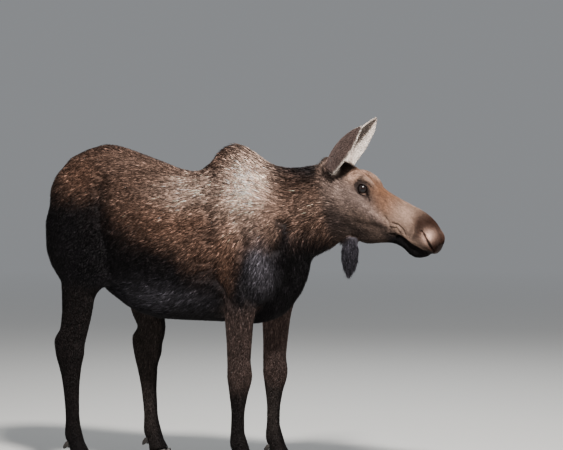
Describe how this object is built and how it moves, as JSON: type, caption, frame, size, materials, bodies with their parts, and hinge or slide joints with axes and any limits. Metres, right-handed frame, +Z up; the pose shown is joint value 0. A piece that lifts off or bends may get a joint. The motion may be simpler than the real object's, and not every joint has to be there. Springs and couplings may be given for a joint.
{
  "type": "cow moose model",
  "caption": "Still life-size cow moose standing with her head up and turned a little to her left, with a furred bell under the throat.",
  "frame": {"origin": "under the middle of the animal's bounding box, on the plane of her soles", "axes": "+X the way she faces, +Y her left side, +Z up"},
  "size_m": [2.2174, 0.5682, 1.8787],
  "materials": {
    "coat": "short coarse brown fur over the skin, darker below",
    "horn": "dark satin horn of hooves and dewclaws",
    "eye": "wet dark brown eye"
  },
  "bodies": {
    "root": {"bell": "coat", "head": "coat", "left_ear": "coat", "left_eye": "eye", "left_front_forearm": "coat", "left_front_inner_dewclaw": "horn", "left_front_inner_hoof": "horn", "left_front_outer_dewclaw": "horn", "left_front_outer_hoof": "horn", "left_front_shank": "coat", "left_hind_gaskin": "coat", "left_hind_inner_dewclaw": "horn", "left_hind_inner_hoof": "horn", "left_hind_outer_dewclaw": "horn", "left_hind_outer_hoof": "horn", "left_hind_shank": "coat", "lower_lip": "coat", "neck": "coat", "right_ear": "coat", "right_eye": "eye", "right_front_forearm": "coat", "right_front_inner_dewclaw": "horn", "right_front_inner_hoof": "horn", "right_front_outer_dewclaw": "horn", "right_front_outer_hoof": "horn", "right_front_shank": "coat", "right_hind_gaskin": "coat", "right_hind_inner_dewclaw": "horn", "right_hind_inner_hoof": "horn", "right_hind_outer_dewclaw": "horn", "right_hind_outer_hoof": "horn", "right_hind_shank": "coat", "tail": "coat", "trunk": "coat"}
  },
  "joints": []
}
